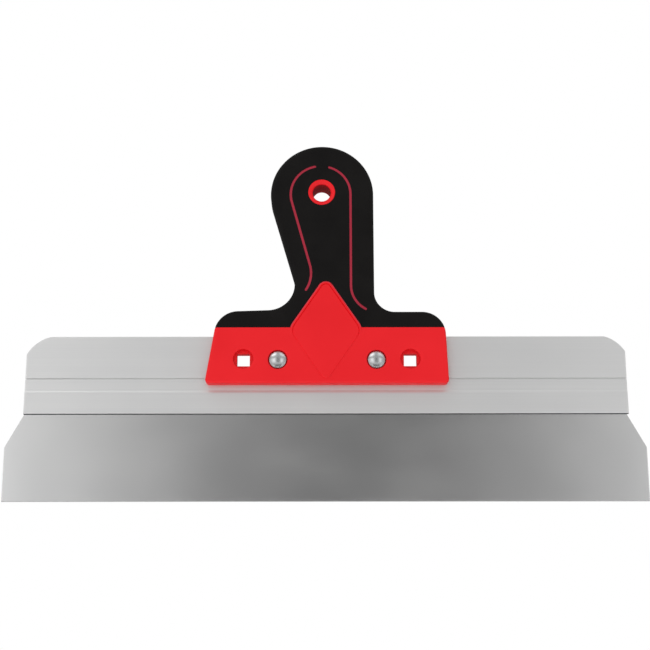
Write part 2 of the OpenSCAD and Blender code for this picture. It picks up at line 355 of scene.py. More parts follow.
# ------------------------------------------------------------------
# Plane triangulation of one face of the handle
# ------------------------------------------------------------------
def face_plan(front):
    V, E = [], []

    def add_loop(L, closed=True):
        k = len(V)
        V.extend([tuple(p) for p in L])
        n = len(L)
        E.extend([(k + i, k + (i + 1) % n) for i in range(n if closed else n - 1)])

    add_loop(RING)

    def level(z, a, b):
        # a straight line across the face between two outline columns
        pa, pb = RING[a], RING[b]
        xs = np.linspace(pa[0], pb[0], 60)
        add_loop([(pa[0], pa[1])] + [(x, z) for x in xs[1:-1]] + [(pb[0], pb[1])], False)

    def column(z, left):
        s = OUT[:, 0] < -60 if left else OUT[:, 0] > 60
        return int(np.argmin(np.abs(OUT[:, 1] - z) + (~s) * 1000))

    for k in (-0.35, -0.12, 0, 0.12, 0.35):
        level(COVER_Z + k, column(COVER_Z + k, True), column(COVER_Z + k, False))
    level(PLATE_TOP, column(PLATE_TOP, True), column(PLATE_TOP, False))
    for g in (-0.3, 0.0, 0.15, 0.35, 0.55, 0.7, 0.9, 1.2, 1.5, 1.75, 1.95, 2.1, RIM, RIM + 0.12, RIM + 0.35):
        L = lozenge(g)
        if g > 0.75:                         # the outer bead is only there in the upper half
            L = np.roll(L, -int(np.argmin(L[:, 1])), axis=0)
            add_loop(L[L[:, 1] > 97], False)
        else:
            add_loop(L)
    for c in RIBS:
        for h in (RIB_W / 2 + 0.35, RIB_W / 2 + 0.12, RIB_W / 2, RIB_W / 2 - 0.3):
            add_loop(band(c, h))
    for r in (9.05, 8.82, 8.7, 8.62, 8.45, 8.15, 7.6, 6.95, 6.4, 6.05, 5.86, 5.8):
        add_loop(circle(HOLE, r, 72))
    if front:
        for c in BOLTS:
            for r in (SINK_R + 0.4, SINK_R + 0.15, SINK_R):
                add_loop(circle(c, r, 56))
            add_loop(square(c, SQ))
            add_loop(square(c, LINER, 0.6))
        for c in RIVETS:
            for r in (RSINK_R + 0.4, RSINK_R + 0.15, RSINK_R, GAP_R):
                add_loop(circle(c, r, 56))
            add_loop(circle(c, 2.6, 24))
    else:
        for c in BOLTS:
            for r in (POCKET_R + 0.4, POCKET_R + 0.15, POCKET_R):
                add_loop(circle(c, r, 64))
        for c in RIVETS:
            for r in (RPOCKET_R + 0.4, RPOCKET_R + 0.15, RPOCKET_R):
                add_loop(circle(c, r, 56))
            add_loop(circle(c, 2.6, 24))
    # inner points keep the triangles even where the face is crowned
    G = np.array([(x, z) for z in np.arange(75.0, 230, 2.1) for x in np.arange(-76.0, 77, 2.1)])
    G[:, 0] += np.where((np.round((G[:, 1] - 75) / 2.1).astype(int) % 2) == 0, 0.0, 1.05)
    G = G[inside(G, RING)]
    A = np.array([V[a] for a, b in E])
    B = np.array([V[b] for a, b in E])
    G = G[seg_dist(G, A, B) > 0.8]
    V.extend([tuple(p) for p in G])
    vo, eo, fo, *_ = delaunay_2d_cdt([Vector(v) for v in V], E, [], 0, 1e-5)
    P = np.array([tuple(v) for v in vo])
    T = np.array([tuple(f) for f in fo if len(f) == 3])
    C = P[T].mean(axis=1)
    area = np.cross(P[T[:, 1]] - P[T[:, 0]], P[T[:, 2]] - P[T[:, 0]])
    T[area < 0] = T[area < 0][:, ::-1]
    keep = inside(C, RING) & (np.abs(area) > 1e-7)
    keep &= np.hypot(*(C - HOLE).T) > HANG_R * math.cos(math.pi / 72) - 1e-4
    # slivers lying along a straight run of the outer ring are not part of the face
    on_ring = {(round(x, 3), round(z, 3)) for x, z in RING}
    edge_pt = np.array([(round(x, 3), round(z, 3)) in on_ring for x, z in P])
    longest = np.max([np.hypot(*(P[T[:, i]] - P[T[:, i - 1]]).T) for i in range(3)], axis=0)
    keep &= ~(edge_pt[T].all(axis=1) & (np.abs(area) / longest < 2e-4))
    T, C = T[keep], C[keep]
    reg = np.where(C[:, 1] > COVER_Z, 1, 0)         # 1 black, 0 red
    reg[inside(C, RIM_LOOP)] = 0
    for L in RIB_LOOPS:
        reg[inside(C, L)] = 2                        # rib
    reg[inside(C, circle(HOLE, COLLAR_R, 72))] = 3   # collar
    lower = C[:, 1] < PLATE_TOP
    if front:
        for c in BOLTS:
            reg[inside(C, circle(c, SINK_R, 56))] = 4
            reg[inside(C, square(c, SQ))] = -1
        for c in RIVETS:
            reg[inside(C, circle(c, RSINK_R, 56))] = 6
            reg[inside(C, circle(c, GAP_R, 56))] = 5
            reg[inside(C, circle(c, 2.6, 24))] = -1
    else:
        for c in BOLTS:
            reg[inside(C, circle(c, POCKET_R, 64))] = -1
        for c in RIVETS:
            reg[inside(C, circle(c, RPOCKET_R, 56))] = 5
            reg[inside(C, circle(c, 2.6, 24))] = -1
    # 7: the outer slope of the bead, where the two mouldings meet; it takes a pinker red, a painted sheen
    bead = (reg == 0) & (C[:, 1] > COVER_Z) & ~inside(C, lozenge(1.5))
    reg[bead] = 7
    k = reg >= 0
    return P, T[k], reg[k], lower[k]


def heights(P, reg, front):
    """Depth of the face (positive outwards, from the middle plane) for one region."""
    F = HALF + crown(P)
    eb = line_dist(P, BORDER)
    if reg == 1:
        e = np.minimum(eb, np.abs(np.hypot(*(P - HOLE).T) - COLLAR_R))
        for L in RIB_LOOPS:
            e = np.minimum(e, loop_dist(P, L))
        return F - roll(e)
    if reg in (0, 7):
        h = F + dia_height(P) - roll(eb)
        spots = [(c, SINK_R if front else POCKET_R) for c in BOLTS] + [(c, RSINK_R if front else RPOCKET_R) for c in RIVETS]
        for c, r in spots:
            h -= roll(np.abs(np.hypot(*(P - c).T) - r), 0.4, 0.4)
        return h
    if reg == 2:
        return F - 0.26
    if reg == 3:
        return HALF + 1.35 - collar_depth(np.hypot(*(P - HOLE).T))
    if reg == 4:
        return np.full(len(P), -SINK_Y)
    if reg == 6:
        return np.full(len(P), -GAP_Y)
    return np.full(len(P), -RSINK_Y if front else RPOCKET_Y)


class Solid:
    """Faces on shared points; two faces on the same points cancel out."""

    def __init__(self):
        self.ids, self.pts, self.faces = {}, [], {}

    def pid(self, p):
        k = (round(p[0] * 2000), round(p[1] * 2000), round(p[2] * 2000))
        if k not in self.ids:
            self.ids[k] = len(self.pts)
            self.pts.append(p)
        return self.ids[k]

    def face(self, pts, mat=0):
        f = []
        for p in pts:
            i = self.pid(p)
            if not f or f[-1] != i:
                f.append(i)
        while len(f) > 1 and f[0] == f[-1]:
            f.pop()
        if len(set(f)) < 3:
            return
        key = frozenset(f)
        if key in self.faces:
            del self.faces[key]
        else:
            self.faces[key] = (f, mat)

    def to_object(self, name, mats, angle=40):
        me = bpy.data.meshes.new(name)
        P = (np.array(self.pts) + [OX, 0, OZ]) * MM
        items = list(self.faces.values())
        me.from_pydata([tuple(p) for p in P], [], [f for f, _ in items])
        me.polygons.foreach_set("material_index", [m for _, m in items])
        return finish_mesh(me, name, mats, angle)


def finish_mesh(me, name, mats, angle=40):
    import bmesh
    bm = bmesh.new()
    bm.from_mesh(me)
    bmesh.ops.remove_doubles(bm, verts=bm.verts, dist=1e-7)
    loose = [v for v in bm.verts if not v.link_faces]
    bmesh.ops.delete(bm, geom=loose, context="VERTS")
    bmesh.ops.recalc_face_normals(bm, faces=bm.faces)
    open_edges = sum(1 for e in bm.edges if len(e.link_faces) != 2)
    for f in bm.faces:
        f.smooth = True
    lim = math.radians(angle)
    for e in bm.edges:
        e.smooth = len(e.link_faces) == 2 and e.calc_face_angle(0) < lim
    bm.to_mesh(me)
    bm.free()
    me.update()
    for m in mats:
        me.materials.append(m)
    o = bpy.data.objects.new(name, me)
    bpy.context.scene.collection.objects.link(o)
    print("MESH", name, len(me.vertices), len(me.polygons), "open or shared edges", open_edges)
    return o


LEVELS = (-CORE, RSINK_Y, GAP_Y, SINK_Y, YP0, YP1, RPOCKET_Y, CORE)


def wall(S, p, q, ya, yb, ya2=None, yb2=None, mat=0):
    """Upright quad strip over the plan edge p-q, from depth ya to yb (ya2, yb2 at q), split at the shared levels."""
    ya2 = ya if ya2 is None else ya2
    yb2 = yb if yb2 is None else yb2
    lo, hi = max(min(ya, yb), min(ya2, yb2)), min(max(ya, yb), max(ya2, yb2))
    cuts = [L for L in LEVELS if lo + 1e-3 < L < hi - 1e-3]
    if ya > yb:
        cuts = cuts[::-1]
    a = [ya] + cuts + [yb]
    b = [ya2] + cuts + [yb2]
    for i in range(len(a) - 1):
        S.face([(p[0], a[i], p[1]), (q[0], b[i], q[1]), (q[0], b[i + 1], q[1]), (p[0], a[i + 1], p[1])], mat)


def prism(S, P, T, top, bot, mat=0):
    """Closed solid over plan triangles T between two depth fields."""
    edges = {}
    for t in T:
        S.face([(P[i][0], top[i], P[i][1]) for i in t], mat)
        S.face([(P[i][0], bot[i], P[i][1]) for i in t[::-1]], mat)
        for a, b in ((t[0], t[1]), (t[1], t[2]), (t[2], t[0])):
            k = (min(a, b), max(a, b))
            edges[k] = edges.get(k, 0) + 1
    for (a, b), c in edges.items():
        if c == 1:
            wall(S, P[a], P[b], top[a], bot[a], top[b], bot[b], mat)


# ------------------------------------------------------------------
# Handle: black cover and red core as two matching solids
# ------------------------------------------------------------------
def build_handle():
    red, black = Solid(), Solid()
    plans = {}
    for front in (True, False):
        P, T, reg, lower = face_plan(front)
        s = -1 if front else 1
        plans[front] = (P, T, reg, lower)
        full = np.zeros(len(P))
        bot_core = full + s * CORE
        plane = full + (YP0 if front else YP1)
        # black skin over the spine
        m = reg == 1
        prism(black, P, T[m], s * heights(P, 1, front), bot_core)
        # the spine below the black skin, down to the plate
        prism(red, P, T[m], bot_core, plane)
        for r in (0, 2, 3, 4, 5, 6, 7):
            m = reg == r
            if m.any():
                # material 1 goes to the ribs, partly painted shade of the recess; material 2 to the bead slope, a
                # painted sheen
                prism(red, P, T[m], s * heights(P, r, front), plane, {2: 1, 7: 2}.get(r, 0))
    # middle layer, above the plate
    Pf, Tf, regf, lowf = plans[True]
    mid = Pf[Tf].mean(axis=1)
    for c in BOLTS:
        m = lowf & inside(mid, square(c, LINER, 0.6))
        prism(red, Pf, Tf[m], np.full(len(Pf), YP0), np.full(len(Pf), YP1))
    Pb, Tb, regb, lowb = plans[False]
    edges = {}
    for P, T, low, y in ((Pf, Tf, lowf, YP0), (Pb, Tb, lowb, YP1)):
        count = {}
        for t in T[~low]:
            red.face([(P[i][0], y, P[i][1]) for i in t])
            for a, b in ((t[0], t[1]), (t[1], t[2]), (t[2], t[0])):
                k = (min(a, b), max(a, b))
                count[k] = count.get(k, 0) + 1
        if y == YP0:
            for (a, b), c in count.items():
                if c == 1:
                    wall(red, P[a], P[b], YP0, YP1)
    # rounded border, column by column
    th = np.radians([90, 76, 62, 48, 35, 22, 10, 0])
    base_h = HALF + np.zeros(N)
    groove = np.zeros(N)
    near = np.abs(OUT[:, 0]) > 60
    groove[near] = roll(np.abs(OUT[near, 1] - COVER_Z), 0.35, 0.2)
    rows = []                                # list of (xz array, y array)
    for t in th:
        d = R_E * (1 - math.cos(t)) + groove * math.cos(t)
        y = HALF - R_E + R_E * math.sin(t) - groove * math.sin(t)
        rows.append((inset(d), -y))
    ring_y = rows[0][1]
    outer = inset(groove)
    n_half = len(rows)
    front_rows = rows + [(outer, np.full(N, YP0))]
    mid_rows = [(outer, np.full(N, YP0)), (outer, np.full(N, YP1))]
    back_rows = [(outer, np.full(N, YP1))] + [(p, -y) for p, y in rows[::-1]]
    zc = OUT[:, 1]
    for j in range(N):
        k = (j + 1) % N
        is_black = min(zc[j], zc[k]) >= COVER_Z - 1e-6
        slot = max(zc[j], zc[k]) <= PLATE_TOP + 1e-6

        def cell(S, rws, ya, yb):
            """One cell of the border: outer skin along rws, closed by the upright wall at the inner ring."""
            for (p0, y0), (p1, y1) in zip(rws[:-1], rws[1:]):
                S.face([(p0[j][0], y0[j], p0[j][1]), (p0[k][0], y0[k], p0[k][1]),
                        (p1[k][0], y1[k], p1[k][1]), (p1[j][0], y1[j], p1[j][1])])
            wall(S, RING[j], RING[k], ya[j], yb[j], ya[k], yb[k])
            lo, hi = min(ya[j], yb[j]), max(ya[j], yb[j])
            for c in (j, k):
                pts = [(p[c][0], y[c], p[c][1]) for p, y in rws]
                a, b = ya[c], yb[c]
                cuts = [L for L in LEVELS if min(a, b) + 1e-3 < L < max(a, b) - 1e-3]
                cuts = sorted(cuts, reverse=bool(b > a))
                pts += [(RING[c][0], L, RING[c][1]) for L in ([b] + cuts + [a])]
                S.face(pts)

        S = black if is_black else red
        # depths at the inner ring
        fa, fb = ring_y, np.full(N, YP0)
        cell(S, front_rows, fa, fb)
        # flat closing faces at the plate planes
        def flat(S, y):
            S.face([(outer[j][0], y, outer[j][1]), (outer[k][0], y, outer[k][1]),
                    (RING[k][0], y, RING[k][1]), (RING[j][0], y, RING[j][1])])
        flat(S, YP0)
        cell(S, back_rows, np.full(N, YP1), -ring_y)
        flat(S, YP1)
        if is_black or not slot:
            cell(S, mid_rows, np.full(N, YP0), np.full(N, YP1))
            flat(S, YP0)
            flat(S, YP1)
    return red, black


red_solid, black_solid = build_handle()


# ------------------------------------------------------------------
# Aluminium back profile: one extruded section with cropped corners
# ------------------------------------------------------------------
BACK_W, BACK_MID, Z0, Z1 = 378.6, 0.4, 55.0, 104.8
XL0, XR0 = BACK_MID - BACK_W / 2, BACK_MID + BACK_W / 2


def back_end(z, left):
    """X of the profile's end at height z, round the cropped corner."""
    c, h = (18.95, 20.8) if left else (18.15, 20.4)
    r = 21.0
    x0, s = (XL0, 1) if left else (XR0, -1)
    zc = Z1 - h
    if z <= zc:
        return x0
    return x0 + s * max(0.0, c - math.sqrt(max(r * r - (z - zc) ** 2, 0.0)))


ROWS = [84.0] + [Z1 - 20.8 + 20.8 * math.sin(math.radians(t)) for t in np.arange(5, 86, 2.7)]
ROWS = [z for z in ROWS if z < Z1 - 0.36]


def back_section():
    """Depth, height and the small easing at the sawn end, round the section."""
    P = []

    def arc(cy, cz, r, a0, a1, n, e=0.25):
        for t in np.linspace(a0, a1, n + 1):
            u = d2(t)
            P.append((cy + r * u[0], cz + r * u[1], u[0] * e))

    def pt(y, z, e):
        P.append((y, z, e))

    # front, from the top down; the front is -Y
    arc(YP1 - 0.35, Z1 - 0.35, 0.35, 0, 90, 4)
    arc(YP0 + 0.35, Z1 - 0.35, 0.35, 90, 180, 4)
    for z in ROWS[::-1]:
        pt(YP0, z, -0.25)
    for z in (81, 79, 78.6):
        pt(YP0, z, -0.25)
    for y, z in ((-0.9, 77.8), (-0.87, 77.72), (-0.76, 77.68), (-0.30, 77.64), (-0.24, 77.54),
                 (-0.24, 76.84), (-0.30, 76.74), (-0.80, 76.7), (-0.92, 76.64), (-0.95, 76.54)):
        pt(y, z, -0.25 if y < -0.6 else -0.15)
    for z, y in ((76.3, -0.96), (75.5, -0.97), (73.5, -0.99), (71.5, -1.01), (70.2, -1.03)):
        pt(y, z, -0.25)
    # the swell of the clamp lip
    for k in range(11):
        t = k / 10
        pt(-1.04 - 0.40 * (1 - (1 - t) ** 2), 69.7 - 2.6 * t, -0.25)
    for z in (65.8, 64, 61, 58, 56.0, 55.5):
        pt(-1.44 - 0.36 * (67.1 - z) / 11.6, z, -0.25)
    arc(-1.8 + 0.2, Z0 + 0.2, 0.2, 180, 270, 5)
    pt(-1.5, Z0, 0)
    pt(-1.0, Z0 - 0.05, 0)
    pt(-0.65, Z0 - 0.16, 0)
    pt(-0.42, Z0 - 0.32, 0)
    pt(-0.32, Z0 - 0.46, 0)
    pt(-0.27, Z0 - 0.38, 0)
    pt(-0.27, Z0 + 14.0, 0)
    pt(0.27, Z0 + 14.0, 0)
    pt(0.27, Z0 + 0.16, 0)
    pt(0.45, Z0, 0)
    arc(1.7 - 0.45, Z0 + 0.45, 0.45, 270, 360, 5)
    for z in (58, 62, 65.5):
        pt(1.7, z, 0.25)
    for k in range(9):
        t = k / 8
        pt(1.7 - 0.6 * (t * t * (3 - 2 * t)), 67.2 + 2.4 * t, 0.25)
    for z in (71, 75, 79):
        pt(YP1, z, 0.25)
    for z in ROWS:
        pt(YP1, z, 0.25)
    return P


def make_profile(mats):
    S = back_section()
    fr = np.concatenate([[0.0, 0.0005, 0.001, 0.002, 0.005], np.linspace(0, 1, 62)[1:-1], [0.995, 0.998, 0.999, 0.9995, 1.0]])
    verts, faces = [], []
    n = len(S)
    for i, f in enumerate(fr):
        tight = {0: 0.6, 1: 0.2, len(fr) - 1: 0.6, len(fr) - 2: 0.2}.get(i, 0.0)
        for y, z, e in S:
            a, b = back_end(z, True), back_end(z, False)
            verts.append((a + (b - a) * f, y - e * tight, z))
    for i in range(len(fr) - 1):
        for j in range(n):
            k = (j + 1) % n
            faces.append((i * n + j, i * n + k, (i + 1) * n + k, (i + 1) * n + j))
    me = bpy.data.meshes.new("back_profile_body")
    V = (np.array(verts) + [OX, 0, OZ]) * MM
    # the faces in the mouth of the slot get a near-black material, painted shade standing in for the shadow under the
    # clamp lip
    lip = [j for j, p in enumerate(S) if p[1] < Z0 + 0.1 and p[2] == 0 and p[0] < -0.2]
    painted_shade_faces = [lip[0] <= i % n < lip[-1] for i in range(len(faces))]
    last = (len(fr) - 1) * n
    flat = [Vector((y - e * 0.6, z)) for y, z, e in S]
    _, _, tri, src, *_ = delaunay_2d_cdt(flat, [], [list(range(n))], 1, 1e-7)
    for f in tri:
        f = [src[i][0] for i in f]
        faces.append(tuple(f))
        faces.append(tuple(last + j for j in reversed(f)))
    me.from_pydata([tuple(v) for v in V], [], faces)
    painted_shade_faces += [False] * (len(faces) - len(painted_shade_faces))
    me.polygons.foreach_set("material_index", [int(v) for v in painted_shade_faces])
    o = finish_mesh(me, "back_profile_extrusion", mats, 32)
    cutters = []
    for c in RIVETS:
        cutters.append(prism_object(circle(c, 2.6, 40)))
    for c in BOLTS:
        cutters.append(prism_object(square(c, LINER + 0.03, 0.6)))
    return cut(o, cutters, mats, 32)


def prism_object(loop, y0=-6.0, y1=6.0):
    n = len(loop)
    v = [((x + OX) * MM, y0 * MM, (z + OZ) * MM) for x, z in loop] + \
        [((x + OX) * MM, y1 * MM, (z + OZ) * MM) for x, z in loop]
    f = [tuple(range(n)), tuple(range(2 * n - 1, n - 1, -1))]
    f += [(i, i + n, (i + 1) % n + n, (i + 1) % n) for i in range(n)]
    me = bpy.data.meshes.new("cutter")
    me.from_pydata(v, [], f)
    import bmesh
    bm = bmesh.new()
    bm.from_mesh(me)
    bmesh.ops.recalc_face_normals(bm, faces=bm.faces)
    bm.to_mesh(me)
    bm.free()
    o = bpy.data.objects.new("cutter", me)
    bpy.context.scene.collection.objects.link(o)
    return o


def cut(o, cutters, mats, angle):
    for c in cutters:
        m = o.modifiers.new("hole", "BOOLEAN")
        m.operation, m.solver, m.object = "DIFFERENCE", "EXACT", c
    bpy.context.view_layer.update()
    dg = bpy.context.evaluated_depsgraph_get()
    me = bpy.data.meshes.new_from_object(o.evaluated_get(dg))
    name = o.name
    old = o.data
    bpy.data.objects.remove(o)
    bpy.data.meshes.remove(old)
    for c in cutters:
        bpy.data.objects.remove(c)
    index = [p.material_index for p in me.polygons]
    me.materials.clear()
    me.polygons.foreach_set("material_index", index)
    return finish_mesh(me, name, mats, angle)


# ------------------------------------------------------------------
# Blade: a long thin sheet, ground a little thinner at the working edge
# ------------------------------------------------------------------
def make_blade(mats):
    zs = [0, 0.05, 0.15, 0.4, 0.8, 1.4, 2.2] + list(np.linspace(3.5, 33.6, 13)) + \
        list(np.linspace(33.6, 55, 11)[1:]) + [60, 65, 68.6, 68.9]
    us = np.concatenate([[-1, -0.99975, -0.9992, -0.998], np.linspace(-1, 1, 122)[1:-1], [0.998, 0.9992, 0.99975, 1]])

    def half(z):
        if z <= 33.6:
            h = 200.0
            if z < 0.4:
                h -= 0.4 - math.sqrt(max(0.16 - (0.4 - z) ** 2, 0))
            return h
        return 200.0 - 11.6 * min((z - 33.6) / 21.4, 1.0)

    def wave(x, z):
        w = 0.07 * math.sin(x * 0.021 + 0.7) + 0.045 * math.sin(x * 0.047 + 2.1 + z * 0.01) + 0.02 * math.sin(x * 0.11 + 1.3)
        return w * float(1 - smooth(18, 52, z))

    def thick(z, u):
        t = 0.25 - 0.09 * float(1 - smooth(0.0, 2.0, z))
        if z < 0.1:
            t -= 0.05
        if abs(u) > 0.9995:
            t -= 0.05
        return t

    R, C = len(zs), len(us)
    v = []
    for s in (-1, 1):
        for z in zs:
            for u in us:
                x = u * half(z)
                v.append((x, wave(x, z) + s * thick(z, u), z))
    f = []
    for s in range(2):
        o = s * R * C
        for i in range(R - 1):
            for j in range(C - 1):
                q = (o + i * C + j, o + i * C + j + 1, o + (i + 1) * C + j + 1, o + (i + 1) * C + j)
                f.append(q if s == 0 else q[::-1])
    rim = [j for j in range(C)] + [i * C + C - 1 for i in range(1, R)] + \
        [(R - 1) * C + j for j in range(C - 2, -1, -1)] + [i * C for i in range(R - 2, 0, -1)]
    for a, b in zip(rim, rim[1:] + rim[:1]):
        f.append((b, a, a + R * C, b + R * C))
    me = bpy.data.meshes.new("blade_sheet")
    V = (np.array(v) + [OX, 0, OZ]) * MM
    me.from_pydata([tuple(p) for p in V], [], f)
    return finish_mesh(me, "blade_sheet", mats, 35)


# ------------------------------------------------------------------
# Rivets and washers, turned about the Y direction
# ------------------------------------------------------------------
def lathe(name, centre, prof, mats, n=72, angle=35, closed=False):
    """prof is a list of (radius, y); radius 0 makes a pole. closed joins the last point to the first."""
    v, rows = [], []
    for r, y in prof:
        if r < 1e-6:
            rows.append([len(v)])
            v.append((centre[0], y, centre[1]))
        else:
            rows.append(list(range(len(v), len(v) + n)))
            v += [(centre[0] + r * math.cos(2 * math.pi * k / n), y, centre[1] + r * math.sin(2 * math.pi * k / n)) for k in range(n)]
    f = []
    pairs = list(zip(rows[:-1], rows[1:])) + ([(rows[-1], rows[0])] if closed else [])
    for a, b in pairs:
        for k in range(n):
            m = (k + 1) % n
            if len(a) == 1:
                f.append((a[0], b[k], b[m]))
            elif len(b) == 1:
                f.append((a[k], b[0], a[m]))
            else:
                f.append((a[k], b[k], b[m], a[m]))
    me = bpy.data.meshes.new(name)
    V = (np.array(v) + [OX, 0, OZ]) * MM
    me.from_pydata([tuple(p) for p in V], [], f)
    return finish_mesh(me, name, mats, angle)


def rivet_profile():
    p = [(0, -8.5)]
    # low domed head with a rolled rim
    for t in np.linspace(6, 60, 13):
        r = 5.0 * math.sin(math.radians(t)) / math.sin(math.radians(60))
        y = -8.5 + 1.25 * (1 - math.cos(math.radians(t))) / (1 - math.cos(math.radians(60)))
        p.append((r, y))
    cy = -8.5 + 1.25 + 0.42
    for t in (55, 40, 25, 10, -10, -30):
        p.append((5.03 + 0.42 * math.cos(math.radians(t)), cy - 0.42 * math.sin(math.radians(t))))
    p += [(5.2, -6.4), (2.7, -6.4), (2.5, -6.2), (2.5, 6.3), (2.9, 6.42), (3.7, 6.42)]
    for t in (0, 20, 40, 60, 80):
        p.append((3.3 + 0.5 * math.cos(math.radians(t)), 6.95 + 0.5 * math.sin(math.radians(t))))
    p += [(2.6, 7.5), (1.6, 7.38), (0.9, 7.22), (0, 7.16)]
    return p


def washer_profile():
    p = []
    for c, a in (((5.55, 5.8), -90), ((5.55, 6.2), 0)):
        for t in np.linspace(a, a + 90, 5):
            p.append((c[0] + 0.2 * math.cos(math.radians(t)), c[1] + 0.2 * math.sin(math.radians(t))))
    p += [(4.2, 6.4), (2.8, 6.4), (2.6, 6.25), (2.6, 5.75), (2.75, 5.6), (4.2, 5.6)]
    return p


# ------------------------------------------------------------------
# Materials
# ------------------------------------------------------------------
class Mat:
    """Small helper round a material's node tree. Coordinates are in millimetres in the row frame."""

    def __init__(self, name, base, metallic, rough, spec=0.5, **consts):
        self.m = bpy.data.materials.new(name)
        self.m.use_nodes = True
        t = self.t = self.m.node_tree
        t.nodes.clear()
        self.out = t.nodes.new("ShaderNodeOutputMaterial")
        self.b = t.nodes.new("ShaderNodeBsdfPrincipled")
        t.links.new(self.b.outputs[0], self.out.inputs["Surface"])
        self.b.inputs["Base Color"].default_value = (*base, 1)
        self.b.inputs["Metallic"].default_value = metallic
        self.b.inputs["Roughness"].default_value = rough
        self.b.inputs["Specular IOR Level"].default_value = spec
        for k, v in consts.items():
            self.b.inputs[k].default_value = v
        self.tc = t.nodes.new("ShaderNodeTexCoord")

    def link(self, a, b):
        self.t.links.new(a, b)

    def coord(self, sx, sy, sz):
        n = self.t.nodes.new("ShaderNodeMapping")
        n.inputs["Scale"].default_value = (1000 * sx, 1000 * sy, 1000 * sz)
        self.link(self.tc.outputs["Object"], n.inputs["Vector"])
        return n.outputs[0]

    def noise(self, scale, size=(1, 1, 1), detail=3.0, rough=0.5, dist=0.0):
        n = self.t.nodes.new("ShaderNodeTexNoise")
        n.inputs["Scale"].default_value = scale
        n.inputs["Detail"].default_value = detail
        n.inputs["Roughness"].default_value = rough
        n.inputs["Distortion"].default_value = dist
        self.link(self.coord(*size), n.inputs["Vector"])
        return n.outputs["Fac"]

    def remap(self, src, a, b, lo, hi):
        n = self.t.nodes.new("ShaderNodeMapRange")
        n.inputs["From Min"].default_value = a
        n.inputs["From Max"].default_value = b
        n.inputs["To Min"].default_value = lo
        n.inputs["To Max"].default_value = hi
        self.link(src, n.inputs["Value"])
        return n.outputs["Result"]

    def math(self, op, a, b=None, clamp=False):
        n = self.t.nodes.new("ShaderNodeMath")
        n.operation = op
        n.use_clamp = clamp
        for i, v in enumerate((a, b)):
            if v is None:
                continue
            if isinstance(v, (int, float)):
                n.inputs[i].default_value = v
            else:
                self.link(v, n.inputs[i])
        return n.outputs[0]

    def mix(self, fac, ca, cb):
        n = self.t.nodes.new("ShaderNodeMix")
        n.data_type = "RGBA"
        n.inputs["A"].default_value = (*ca, 1)
        n.inputs["B"].default_value = (*cb, 1)
        self.link(fac, n.inputs["Factor"])
        return n.outputs["Result"]

    def bump(self, heights, dist_mm):
        n = self.t.nodes.new("ShaderNodeBump")
        n.inputs["Strength"].default_value = 1.0
        n.inputs["Distance"].default_value = dist_mm * MM
        self.link(heights, n.inputs["Height"])
        self.link(n.outputs[0], self.b.inputs["Normal"])

    def colour(self, s):
        self.link(s, self.b.inputs["Base Color"])

    def rough(self, s):
        self.link(s, self.b.inputs["Roughness"])


def red_plastic():
    a = Mat("red_moulded_plastic", (0.73, 0.0072, 0.013), 0, 0.42, 0.20)
    broad = a.noise(0.03, detail=2)
    fine = a.noise(2.2, detail=4, rough=0.6)
    a.colour(a.mix(a.remap(broad, 0.3, 0.7, 0, 1), (0.705, 0.0062, 0.0112), (0.745, 0.0084, 0.0140)))
    a.rough(a.remap(fine, 0.3, 0.7, 0.38, 0.47))
    a.bump(fine, 0.018)
    return a.m


def rib_shaded_red():
    # Darker, bluer red for the recessed ribs: partly the ribs' own hue, partly painted shade of the recess.
    a = Mat("rib_red_painted_shade", (0.33, 0.016, 0.036), 0, 0.55, 0.2)
    broad = a.noise(0.05, detail=2)
    fine = a.noise(2.6, detail=4, rough=0.6)
    a.colour(a.mix(a.remap(broad, 0.3, 0.7, 0, 1), (0.31, 0.0145, 0.034), (0.36, 0.0175, 0.040)))
    a.rough(a.remap(fine, 0.3, 0.7, 0.50, 0.62))
    a.bump(fine, 0.02)
    return a.m


def bore_painted_shade_red():
    # Darker red for the hang hole's bore: painted shade inside the hole.
    a = Mat("bore_painted_shade_red", (0.30, 0.004, 0.006), 0, 0.5, 0.08)
    fine = a.noise(2.4, detail=4, rough=0.6)
    a.colour(a.mix(a.remap(fine, 0.3, 0.7, 0, 1), (0.28, 0.0035, 0.0055), (0.33, 0.0045, 0.0068)))
    a.rough(a.remap(fine, 0.3, 0.7, 0.45, 0.58))
    a.bump(fine, 0.01)
    return a.m


def bead_sheen_red():
    # Pinker red for the outer slope of the bead: painted sheen where the slope catches the light.
    a = Mat("red_bead_painted_sheen", (0.58, 0.022, 0.040), 0, 0.40, 0.35)
    fine = a.noise(2.4, detail=4, rough=0.6)
    a.colour(a.mix(a.remap(fine, 0.3, 0.7, 0, 1), (0.55, 0.020, 0.036), (0.62, 0.026, 0.046)))
    a.rough(a.remap(fine, 0.3, 0.7, 0.36, 0.46))
    a.bump(fine, 0.018)
    return a.m


def black_rubber():
    a = Mat("black_soft_rubber", (0.006, 0.006, 0.0065), 0, 0.72, 0.08)
    broad = a.noise(0.05, detail=3)
    fine = a.noise(3.4, detail=4, rough=0.65)
    a.colour(a.mix(a.remap(broad, 0.3, 0.7, 0, 1), (0.0056, 0.0050, 0.0049), (0.0082, 0.0074, 0.0070)))
    a.rough(a.remap(fine, 0.3, 0.7, 0.66, 0.80))
    a.bump(fine, 0.03)
    return a.m


